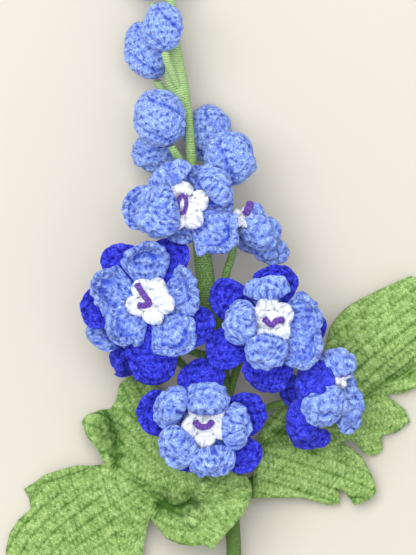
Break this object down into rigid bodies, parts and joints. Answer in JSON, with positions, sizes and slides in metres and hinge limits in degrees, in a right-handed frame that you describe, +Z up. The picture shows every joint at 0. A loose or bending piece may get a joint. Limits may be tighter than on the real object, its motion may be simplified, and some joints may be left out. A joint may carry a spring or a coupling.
{
  "type": "crocheted delphinium flower spike",
  "caption": "Handmade crocheted delphinium spike lying down: wound stem on a wire, stuffed blue buds, layered blooms with white centres and purple loops, lobed green leaves.",
  "frame": {"origin": "middle of the spike's footprint, on the surface that it lies on", "axes": "+Z up out of the surface, +Y along the stem from its cut foot to its tip, +X to the right as seen from above"},
  "size_m": [0.256, 0.4697, 0.0683],
  "materials": {
    "light_blue_yarn": "matte heathered yarn",
    "dark_blue_yarn": "matte yarn",
    "white_yarn": "soft matte yarn",
    "purple_yarn": "matte yarn",
    "green_yarn": "matte yarn",
    "wound_thread": "smooth wound thread",
    "wire": "drawn"
  },
  "bodies": {
    "root": {"stem": "wound_thread", "stem_wire": "wire", "leaf_left": "green_yarn", "leaf_right": "green_yarn", "bloom_top_outer_petals": "light_blue_yarn", "bloom_top_inner_petals": "light_blue_yarn", "bloom_top_centre": "white_yarn", "bloom_top_stamens": "purple_yarn", "bloom_top_side_outer_petals": "light_blue_yarn", "bloom_top_side_inner_petals": "light_blue_yarn", "bloom_top_side_centre": "white_yarn", "bloom_top_side_stamens": "purple_yarn", "bloom_left_outer_petals": "dark_blue_yarn", "bloom_left_inner_petals": "light_blue_yarn", "bloom_left_centre": "white_yarn", "bloom_left_stamens": "purple_yarn", "bloom_left_back_outer_petals": "dark_blue_yarn", "bloom_left_back_inner_petals": "light_blue_yarn", "bloom_left_back_centre": "white_yarn", "bloom_left_back_stamens": "purple_yarn", "bloom_right_outer_petals": "dark_blue_yarn", "bloom_right_inner_petals": "light_blue_yarn", "bloom_right_centre": "white_yarn", "bloom_right_stamens": "purple_yarn", "bloom_middle_outer_petals": "dark_blue_yarn", "bloom_middle_inner_petals": "light_blue_yarn", "bloom_middle_centre": "white_yarn", "bloom_middle_stamens": "purple_yarn", "bloom_right_side_outer_petals": "dark_blue_yarn", "bloom_right_side_inner_petals": "light_blue_yarn", "bloom_right_side_centre": "white_yarn", "bloom_right_side_stamens": "purple_yarn", "bud_1": "light_blue_yarn", "bud_2": "light_blue_yarn", "bud_3": "light_blue_yarn", "bud_4": "light_blue_yarn", "bud_5": "light_blue_yarn", "bud_6": "light_blue_yarn", "bud_7": "light_blue_yarn", "bud_8": "light_blue_yarn", "bud_9": "light_blue_yarn", "bud_10": "light_blue_yarn", "bud_tip": "light_blue_yarn"}
  },
  "joints": []
}
